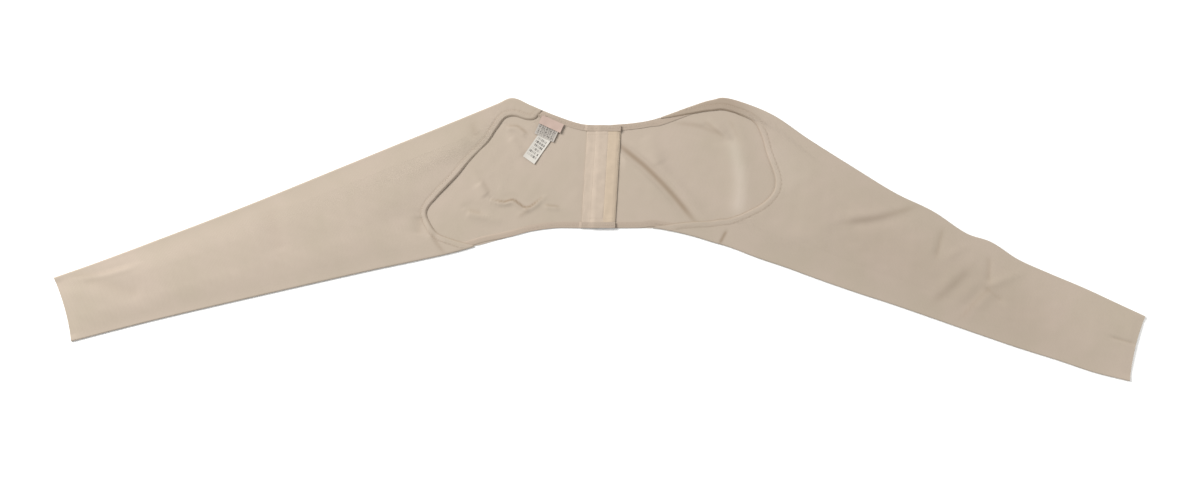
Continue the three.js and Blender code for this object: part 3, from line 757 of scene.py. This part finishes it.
# Labels at the left neckline, one on the other: level counts up from the panel
labels = {
    "thickness": 0.4, "lowest": 1.6, "levelStep": 0.8, "sideCurl": 0.6,
    "ripple": 0.12, "rippleWave": 14, "seed": 31,
    "columns": 41, "lines": 61,
    "rows": [
        {"name": "sizeLabel", "node": "size_label", "at": 0.545, "across": 0.33, "width": 16.5,
         "length": 35, "turn": -35, "level": 0, "curl": 0.5},
        {"name": "careLabel", "node": "care_label", "at": 0.462, "across": 0.165, "width": 25,
         "length": 17, "turn": -25, "level": 1, "curl": 0.5},
        {"name": "brandLabel", "node": "brand_label", "at": 0.425, "across": 0.088, "width": 28,
         "length": 11, "turn": -24.5, "level": 2, "curl": 0.6},
    ],
}


def labelPiece(row):
    across = np.linspace(-0.5, 0.5, labels["columns"])
    along = np.linspace(-0.5, 0.5, labels["lines"])
    u, v = np.meshgrid(across, along)
    spot = planOf(leftHalf, row["at"], row["across"])
    turn = math.radians(row["turn"])
    x = u * row["width"]
    y = v * row["length"]
    level = labels["lowest"] + row["level"] * labels["levelStep"]
    base = underHeight(leftHalf, spot[None, :], np.array([row["across"]]))[0] - garment["fabricSpace"] / 2
    curl = labels["sideCurl"] * (2 * np.abs(u)) ** 3 + np.clip(-2 * v, 0, 1) ** 2
    z = level + base + row["curl"] * curl
    seed = labels["seed"] + row["level"]
    z = z + labels["ripple"] * ripple(np.stack([x, y], axis=-1), seed, labels["rippleWave"])
    left = leftHalf["side"] * spot[0] + x * math.cos(turn) - y * math.sin(turn)
    up = spot[1] + x * math.sin(turn) + y * math.cos(turn)
    points = np.stack([left * mm + closureMiddle[0], up * mm + closureMiddle[1], z * mm], axis=-1)
    return patchPiece(row["name"], points, np.stack([u + 0.5, v + 0.5], axis=-1), labels["thickness"])


labelPieces = {row["node"]: labelPiece(row) for row in labels["rows"]}
print("tape and labels", 1 + len(labelPieces))


# Materials
def linearColor(hexValue):
    parts = [int(hexValue[k:k + 2], 16) / 255 for k in (1, 3, 5)]
    return [c / 12.92 if c <= 0.04045 else ((c + 0.055) / 1.055) ** 2.4 for c in parts] + [1.0]


def newMaterial(name):
    material = bpy.data.materials.new(name)
    material.use_nodes = True
    material.node_tree.nodes.clear()
    return material


# Adds a node with its settings, values for its sockets, and links from other nodes' sockets
def addNode(tree, kind, settings=None, values=None, links=None):
    node = tree.nodes.new(kind)
    for key, value in (settings or {}).items():
        setattr(node, key, value)
    for key, value in (values or {}).items():
        node.inputs[key].default_value = value
    for key, source in (links or {}).items():
        tree.links.new(source, node.inputs[key])
    return node


# The nodes that several trees share, each given back as its result
def clothPlace(tree):
    return addNode(tree, "ShaderNodeUVMap", {"uv_map": "clothUV"}).outputs["UV"]


def solidPlace(tree):
    return addNode(tree, "ShaderNodeTexCoord").outputs["Object"]


def repeated(tree, place, pitch, otherPitch):
    scale = (1 / pitch, 1 / otherPitch, 1)
    return addNode(tree, "ShaderNodeMapping", None, {"Scale": scale}, {"Vector": place}).outputs["Vector"]


def parted(tree, vector):
    return addNode(tree, "ShaderNodeSeparateXYZ", None, None, {"Vector": vector}).outputs


def calculated(tree, operation, values, links):
    return addNode(tree, "ShaderNodeMath", {"operation": operation}, values, links).outputs[0]


def vectorWork(tree, operation, values, links):
    return addNode(tree, "ShaderNodeVectorMath", {"operation": operation}, values, links).outputs["Vector"]


def ranged(tree, value, low, high, least=0.0, most=1.0, interpolation="LINEAR"):
    limits = {"From Min": low, "From Max": high, "To Min": least, "To Max": most}
    settings = {"interpolation_type": interpolation}
    return addNode(tree, "ShaderNodeMapRange", settings, limits, {"Value": value}).outputs["Result"]


def noise(tree, place, scale, detail, roughness=0.5):
    values = {"Scale": scale, "Detail": detail, "Roughness": roughness}
    return addNode(tree, "ShaderNodeTexNoise", None, values, {"Vector": place}).outputs["Fac"]


def oneTone(tree, hexValue):
    color = addNode(tree, "ShaderNodeRGB").outputs[0]
    color.default_value = linearColor(hexValue)
    return color


def twoTones(tree, hexValue, otherHex, share):
    colors = {6: linearColor(hexValue), 7: linearColor(otherHex)}
    return addNode(tree, "ShaderNodeMix", {"data_type": "RGBA"}, colors, {0: share}).outputs[2]


def toned(tree, color, tone):
    return vectorWork(tree, "SCALE", None, {0: color, "Scale": tone})


def bumped(tree, height, strength, depth, invert=False):
    values = {"Strength": strength, "Distance": depth}
    return addNode(tree, "ShaderNodeBump", {"invert": invert}, values, {"Height": height}).outputs["Normal"]


def finishMaterial(tree, color, normal, roughness, sheen=0.0, sheenRoughness=0.5):
    shader = addNode(tree, "ShaderNodeBsdfPrincipled", None,
                     {"Roughness": roughness, "IOR": 1.53, "Sheen Weight": sheen,
                      "Sheen Roughness": sheenRoughness, "Specular IOR Level": 0.3},
                     {"Base Color": color, "Normal": normal})
    addNode(tree, "ShaderNodeOutputMaterial", None, None, {"Surface": shader.outputs["BSDF"]})


# Warp-knitted nylon and elastane: fine wales along the sleeve, a faint satin face. The real wales
# are 0.4 mm apart, too fine to show, and are drawn 1.3 mm apart.
def warpKnit(name, hexValue, darkHex):
    material = newMaterial(name)
    tree = material.node_tree
    place = solidPlace(tree)
    walePitch = 1.3 * mm
    coursePitch = 1.7 * mm
    split = parted(tree, repeated(tree, clothPlace(tree), walePitch, coursePitch))
    turns = [calculated(tree, "MULTIPLY", {1: 2 * math.pi}, {0: split[axis]}) for axis in ("X", "Y")]
    wale, course = (calculated(tree, "SINE", None, {0: turn}) for turn in turns)
    knit = calculated(tree, "MULTIPLY_ADD", {1: 0.45}, {0: course, 2: wale})
    mottle = noise(tree, place, 0.014 / mm, 3.0, 0.6)     # clouds 70 mm across
    fuzz = noise(tree, place, 0.9 / mm, 2.0, 0.6)         # fibres 1.1 mm apart
    color = twoTones(tree, hexValue, darkHex, ranged(tree, mottle, 0.3, 0.7))
    # Painted shade: the knit is coloured darker and browner where the shade attribute is positive, and
    # lighter (painted light) where it is negative
    shade = addNode(tree, "ShaderNodeAttribute", {"attribute_name": "paintedShadeAndLight"}).outputs["Fac"]
    brown = vectorWork(tree, "SCALE", {0: (1.0, 1.2, 1.4)}, {"Scale": shade})
    kept = vectorWork(tree, "SUBTRACT", {0: (1.0, 1.0, 1.0)}, {1: brown})
    shaded = vectorWork(tree, "MULTIPLY", None, {0: color, 1: kept})
    ribbed = toned(tree, shaded, ranged(tree, knit, -1.4, 1.4, 0.955, 1.03))
    rough = calculated(tree, "MULTIPLY_ADD", {1: 0.5}, {0: fuzz, 2: knit})
    finishMaterial(tree, ribbed, bumped(tree, rough, 0.35, 0.12 * mm), 0.72, 0.12, 0.45)
    return material


# Woven plush elastic: cross ribs over the rubber cores, a matt brushed back
def plushElastic(name, hexValue, darkHex):
    material = newMaterial(name)
    tree = material.node_tree
    ribPitch = 1.8 * mm
    weave = addNode(tree, "ShaderNodeTexBrick", {"offset": 0.5}, {
        "Scale": 1.0, "Mortar Size": 0.12, "Mortar Smooth": 0.8, "Brick Width": 1.0, "Row Height": 0.5,
        "Color1": linearColor(hexValue), "Color2": linearColor(hexValue), "Mortar": linearColor(darkHex)},
        {"Vector": repeated(tree, clothPlace(tree), ribPitch, ribPitch)})
    normal = bumped(tree, weave.outputs["Fac"], 0.5, 0.15 * mm, invert=True)
    finishMaterial(tree, weave.outputs["Color"], normal, 0.85, 0.2, 0.6)
    return material


# Brushed nylon tape: short plush pile in two tones, the flap over the hooks a little warmer
def brushedTape(name, paleHex, warmHex):
    material = newMaterial(name)
    tree = material.node_tree
    place = solidPlace(tree)
    flapFrom = 4.8 * mm
    flapTo = 5.8 * mm
    outward = parted(tree, clothPlace(tree))["X"]
    flap = ranged(tree, outward, flapFrom, flapTo, interpolation="SMOOTHSTEP")
    pile = noise(tree, place, 1.3 / mm, 3.0, 0.7)         # pile 0.8 mm apart
    nap = noise(tree, place, 0.12 / mm, 3.0, 0.55)        # brushed patches of 8 mm
    color = twoTones(tree, paleHex, warmHex, flap)
    napped = toned(tree, color, ranged(tree, nap, 0.3, 0.7, 0.95, 1.04))
    height = calculated(tree, "ADD", None, {0: pile, 1: nap})
    finishMaterial(tree, napped, bumped(tree, height, 0.4, 0.2 * mm), 0.9, 0.35, 0.6)
    return material


# Satin ribbon label: a fine cross weave with some gloss. With markHex it has rows of plain dashes.
def ribbonLabel(name, hexValue, markHex=None, rows=6, fill=0.5, margin=0.12):
    material = newMaterial(name)
    tree = material.node_tree
    place = clothPlace(tree)
    weave = noise(tree, place, 60.0, 2.0)
    if markHex:
        settings = {"offset": 0.37, "squash": 0.6, "squash_frequency": 2}
        dashes = addNode(tree, "ShaderNodeTexBrick", settings, {
            "Scale": 1.0, "Mortar Size": 0.022, "Mortar Smooth": 0.2, "Brick Width": 0.19,
            "Row Height": 1 / rows, "Bias": fill * 2 - 1, "Color1": (0, 0, 0, 1), "Color2": (1, 1, 1, 1),
            "Mortar": (0, 0, 0, 1)}, {"Vector": place})
        split = parted(tree, place)
        mask = dashes.outputs["Color"]
        for axis in ("X", "Y"):
            away = calculated(tree, "SUBTRACT", {1: 0.5}, {0: split[axis]})
            size = calculated(tree, "ABSOLUTE", None, {0: away})
            inside = calculated(tree, "LESS_THAN", {1: 0.5 - margin}, {0: size})
            mask = calculated(tree, "MULTIPLY", None, {0: inside, 1: mask})
        color = twoTones(tree, hexValue, markHex, mask)
    else:
        color = oneTone(tree, hexValue)
    color = toned(tree, color, ranged(tree, weave, 0.3, 0.7, 0.94, 1.03))
    finishMaterial(tree, color, bumped(tree, weave, 0.2, 0.1 * mm), 0.5)
    return material


# Polyester sewing thread: smooth, with a slight gloss
def sewingThread(name, hexValue):
    material = newMaterial(name)
    tree = material.node_tree
    twist = noise(tree, solidPlace(tree), 1.5 / mm, 1.0)
    color = toned(tree, oneTone(tree, hexValue), ranged(tree, twist, 0.0, 1.0, 0.9, 1.08))
    finishMaterial(tree, color, bumped(tree, twist, 0.3, 0.1 * mm), 0.6)
    return material


knitMaterial = warpKnit("warp-knitted nylon elastane", "#b3a495", "#ada08f")
elasticMaterial = plushElastic("woven plush elastic", "#b0a08f", "#9f8f80")
tapeMaterial = brushedTape("brushed nylon tape", "#b6a695", "#baa892")
bareRibbon = ribbonLabel("satin ribbon, bare", "#b59f93")
printedRibbon = ribbonLabel("satin ribbon, printed", "#b1aaa1", "#5f5b57", 9, 0.72, 0.06)
whiteRibbon = ribbonLabel("woven white ribbon", "#c9c4bb", "#4d4a46", 8, 0.55, 0.12)
threadMaterial = sewingThread("polyester sewing thread", "#b8a897")

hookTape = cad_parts["hook_tape"]
finishes = [
    (leftSleeve, knitMaterial), (rightSleeve, knitMaterial), (leftElastic, elasticMaterial),
    (rightElastic, elasticMaterial), (eyeTapePiece, tapeMaterial), (hookTape, tapeMaterial),
    (labelPieces["brand_label"], bareRibbon), (labelPieces["care_label"], printedRibbon),
    (labelPieces["size_label"], whiteRibbon),
]
for piece, material in finishes:
    piece.data.materials.clear()
    piece.data.materials.append(material)


# Stitches follow a path: a stitch mesh stands on every point, and turns to and fro in a zigzag
def stitchTree():
    tree = bpy.data.node_groups.new("stitchesOnPath", "GeometryNodeTree")
    tree.interface.new_socket("Geometry", in_out="INPUT", socket_type="NodeSocketGeometry")
    defaults = {"Pitch": 2.4 * mm, "Stitch Length": 1.8 * mm, "Thread Width": 0.4 * mm, "Zigzag": 0.0}
    for name, value in defaults.items():
        socket = tree.interface.new_socket(name, in_out="INPUT", socket_type="NodeSocketFloat")
        socket.default_value = value
    tree.interface.new_socket("Geometry", in_out="OUTPUT", socket_type="NodeSocketGeometry")
    given = addNode(tree, "NodeGroupInput")
    path = addNode(tree, "GeometryNodeMeshToCurve", None, None, {"Mesh": given.outputs["Geometry"]})
    evenPath = addNode(tree, "GeometryNodeResampleCurve", {"mode": "LENGTH"}, None,
                       {"Curve": path.outputs["Curve"], "Length": given.outputs["Pitch"]})
    ball = addNode(tree, "GeometryNodeMeshUVSphere", None, {"Segments": 6, "Rings": 5, "Radius": 1.0})
    reach, radius = (calculated(tree, "MULTIPLY", {1: 0.5}, {0: given.outputs[name]})
                     for name in ("Stitch Length", "Thread Width"))
    size = addNode(tree, "ShaderNodeCombineXYZ", None, None, {"X": reach, "Y": radius, "Z": radius})
    tangent = addNode(tree, "GeometryNodeInputTangent")
    facing = addNode(tree, "FunctionNodeAlignRotationToVector", {"axis": "X", "pivot_axis": "Z"}, None,
                     {"Vector": tangent.outputs["Tangent"]})
    number = addNode(tree, "GeometryNodeInputIndex")
    parity = calculated(tree, "MODULO", {1: 2.0}, {0: number.outputs["Index"]})
    sway = calculated(tree, "SUBTRACT", {1: 0.5}, {0: parity})
    angle = calculated(tree, "MULTIPLY", None, {0: sway, 1: given.outputs["Zigzag"]})
    turn = addNode(tree, "FunctionNodeAxisAngleToRotation", None, {"Axis": (0, 0, 1)}, {"Angle": angle})
    turned = addNode(tree, "FunctionNodeRotateRotation", {"rotation_space": "LOCAL"}, None,
                     {"Rotation": facing.outputs["Rotation"], "Rotate By": turn.outputs["Rotation"]})
    stitches = addNode(tree, "GeometryNodeInstanceOnPoints", None, None,
                       {"Points": evenPath.outputs["Curve"], "Instance": ball.outputs["Mesh"],
                        "Rotation": turned.outputs["Rotation"], "Scale": size.outputs["Vector"]})
    real = addNode(tree, "GeometryNodeRealizeInstances", None, None,
                   {"Geometry": stitches.outputs["Instances"]})
    painted = addNode(tree, "GeometryNodeSetMaterial", None, {"Material": threadMaterial},
                      {"Geometry": real.outputs["Geometry"]})
    addNode(tree, "NodeGroupOutput", None, None, {"Geometry": painted.outputs["Geometry"]})
    return tree


stitchNodes = stitchTree()


def stitchPiece(name, paths, settings):
    points, edges = [], []
    for path in paths:
        first = len(points)
        points.extend(path.tolist())
        edges.extend((first + k, first + k + 1) for k in range(len(path) - 1))
    mesh = bpy.data.meshes.new(name)
    mesh.from_pydata(points, edges, [])
    host = addObject(name, mesh)
    modifier = host.modifiers.new("stitches", "NODES")
    modifier.node_group = stitchNodes
    for item in stitchNodes.interface.items_tree:
        if item.item_type == "SOCKET" and item.in_out == "INPUT" and item.name in settings:
            modifier[item.identifier] = settings[item.name]
    evaluated = host.evaluated_get(bpy.context.evaluated_depsgraph_get())
    finished = bpy.data.meshes.new_from_object(evaluated)
    host.modifiers.clear()
    host.data = finished
    finished.polygons.foreach_set("use_smooth", np.ones(len(finished.polygons), bool))
    if not finished.materials:
        finished.materials.append(threadMaterial)
    return host


# The top of the fabric or trim under a place in plan
def surfaceTree(pieces):
    points, faces = [], []
    for piece in pieces:
        first = len(points)
        points.extend(v.co.copy() for v in piece.data.vertices)
        faces.extend([first + number for number in polygon.vertices] for polygon in piece.data.polygons)
    return BVHTree.FromPolygons(points, faces)


garmentTop = surfaceTree([leftSleeve, rightSleeve, leftElastic, rightElastic, eyeTapePiece,
                          *labelPieces.values()])


def laidOn(half, places, lift):
    flat = inFrame(half, np.asarray(places, float), 0)
    laid = []
    for x, y, _ in flat:
        hit = garmentTop.ray_cast(Vector((x, y, 50 * mm)), Vector((0, 0, -1)))[0]
        if hit is not None:
            laid.append((x, y, hit.z + lift * mm))
    return np.array(laid)


def beside(line, run, offset):
    return line + np.stack([-run[:, 1], run[:, 0]], axis=1) * offset


stitching = {
    "Pitch": 2.6 * mm, "Stitch Length": 2.9 * mm, "Thread Width": 0.42 * mm, "Zigzag": math.radians(95),
}
plainSeam = {
    "Pitch": 2.6 * mm, "Stitch Length": 2.0 * mm, "Thread Width": 0.4 * mm, "Zigzag": 0.0,
}
barTack = {
    "Pitch": 0.6 * mm, "Stitch Length": 1.2 * mm, "Thread Width": 0.3 * mm, "Zigzag": math.radians(150),
}
seams = {
    "skip": 6, "smoothing": 10, "lift": 0.05,
    "inside": 0.6,             # from the back of the band to the stitches on the cloth
    "inBends": 0.8,            # the same where the edge bends sharply, and the row is cut short
    "clear": 1,                # from the front layer to the first stitch shown on the elastic
    "neckTo": 0.27, "hemFrom": 0.75,
}


def edgeStitches(half, name):
    line = half["edgeLine"][seams["skip"]:-seams["skip"]]
    run = smoothed(runOf(line), seams["smoothing"])
    onCloth = beside(smoothed(line, seams["smoothing"]), run, fabric["bandWidth"] - seams["inside"])
    onCloth = onCloth[fromEdge(half, onCloth)[0] > fabric["bandWidth"] - seams["inBends"]]
    onElastic = half["elasticMiddle"]
    share = np.linspace(0, 1, len(onElastic))
    shown = fromEdge(half, onElastic)[0] > elasticMargin + seams["clear"]
    neck = onElastic[shown & (share < seams["neckTo"])]
    hem = onElastic[shown & (share > seams["hemFrom"])]
    laid = [laidOn(half, path, seams["lift"]) for path in (onCloth, neck, hem)]
    return stitchPiece(name, [path for path in laid if len(path) > 1], stitching)


leftStitches = edgeStitches(leftHalf, "leftEdgeStitches")
rightStitches = edgeStitches(rightHalf, "rightEdgeStitches")


# A straight run of places on the tape, as counted points laid on its face
def alongTape(start, stop, count, lift):
    offset, rise = np.linspace(start, stop, count).T
    lean = math.tan(math.radians(closure["lean"]))
    return laidOn(rightHalf, np.stack([offset + rise * lean, rise], axis=1), lift)


# Straight rows down the tape and across its ends
def tapeStitches():
    top = closureHeight / 2 - closure["endRow"]
    rows = closure["stitchRows"]
    paths = [alongTape((row, -top), (row, top), 60, 0) for row in rows[:3]]
    paths += [alongTape((rows[0], rise), (rows[-1], rise), 24, 0) for rise in (-top, top)]
    return stitchPiece("tapeStitches", paths, plainSeam)


# Bar tacks that hold the eyes, in pairs down the tape, sunk in its pile
tacks = {"top": 36, "bottom": -42, "pairs": 6, "starts": (-8.4, -4.6), "length": 2.6, "lift": -0.08}


def barTacks():
    paths = []
    for rise in np.linspace(tacks["top"], tacks["bottom"], tacks["pairs"]):
        for start in tacks["starts"]:
            paths.append(alongTape((start, rise), (start + tacks["length"], rise), 4, tacks["lift"]))
    return stitchPiece("eyeBarTacks", paths, barTack)


closureStitches = tapeStitches()
eyeTacks = barTacks()
stitchPieces = [leftStitches, rightStitches, closureStitches, eyeTacks]
print("stitches", sum(len(piece.data.polygons) for piece in stitchPieces))

# Every piece rides on the garment's one body and stands for its solid
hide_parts("left_sleeve")
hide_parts("right_sleeve")
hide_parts("left_edge_elastic")
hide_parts("right_edge_elastic")
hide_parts("eye_tape")
for node, piece in labelPieces.items():
    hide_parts(node)
slots = {
    "sleeve_fabric": [leftSleeve, rightSleeve], "closure_tape": [eyeTapePiece],
    "edge_elastic": [leftElastic, rightElastic, *stitchPieces],
    "neck_label": [labelPieces["brand_label"]], "print_label": [labelPieces["care_label"]],
    "white_label": [labelPieces["size_label"]],
}
for slot, pieces in slots.items():
    for piece in pieces:
        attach(piece, "root")

# Plain pale floor, soft studio light from the left, and a camera straight above
stage = {
    "floorSize": 8.0, "floorHex": "#fbfbfa", "worldStrength": 0.46, "cameraHeight": 2.6,
    "viewWidth": 1.4312, "sensor": 36.0, "cameraPlace": (0.0006, -0.0006),
    "keyPower": 122.0, "keySize": 1.4, "keyPlace": (-1.9, 1.5, 1.9), "keyTarget": (0, 0, 0),
    "fillPower": 1.5, "fillSize": 0.35, "fillPlace": (1.0, -0.15, 0.5),
    "fillTarget": (0.62, -0.12, 0),
}


def addFloor():
    mesh = bpy.data.meshes.new("floor")
    reach = stage["floorSize"] / 2
    corners = [(-reach, -reach, 0), (reach, -reach, 0), (reach, reach, 0), (-reach, reach, 0)]
    mesh.from_pydata(corners, [], [(0, 1, 2, 3)])
    floor = addObject("floor", mesh)
    material = newMaterial("matt white paper")
    paper = {"Base Color": linearColor(stage["floorHex"]), "Roughness": 0.9, "Specular IOR Level": 0.1}
    shader = addNode(material.node_tree, "ShaderNodeBsdfPrincipled", None, paper)
    addNode(material.node_tree, "ShaderNodeOutputMaterial", None, None, {"Surface": shader.outputs["BSDF"]})
    mesh.materials.append(material)


def addAreaLight(name, part):
    light = bpy.data.lights.new(name, "AREA")
    light.energy = stage[part + "Power"]
    light.size = stage[part + "Size"]
    lamp = addObject(name, light)
    lamp.location = stage[part + "Place"]
    aim = Vector(stage[part + "Target"]) - Vector(stage[part + "Place"])
    lamp.rotation_euler = aim.to_track_quat("-Z", "Y").to_euler()


addFloor()
addAreaLight("keyLight", "key")
addAreaLight("fillLight", "fill")
world = bpy.data.worlds.new("studio")
world.use_nodes = True
background = world.node_tree.nodes["Background"]
background.inputs["Color"].default_value = (1, 1, 1, 1)
background.inputs["Strength"].default_value = stage["worldStrength"]
bpy.context.scene.world = world
bpy.context.scene.view_settings.view_transform = "Standard"

camera = bpy.data.cameras.new("camera")
camera.sensor_width = stage["sensor"]
camera.lens = stage["sensor"] * stage["cameraHeight"] / stage["viewWidth"]
cameraObject = addObject("camera", camera)
cameraObject.location = (*stage["cameraPlace"], stage["cameraHeight"])
bpy.context.scene.camera = cameraObject
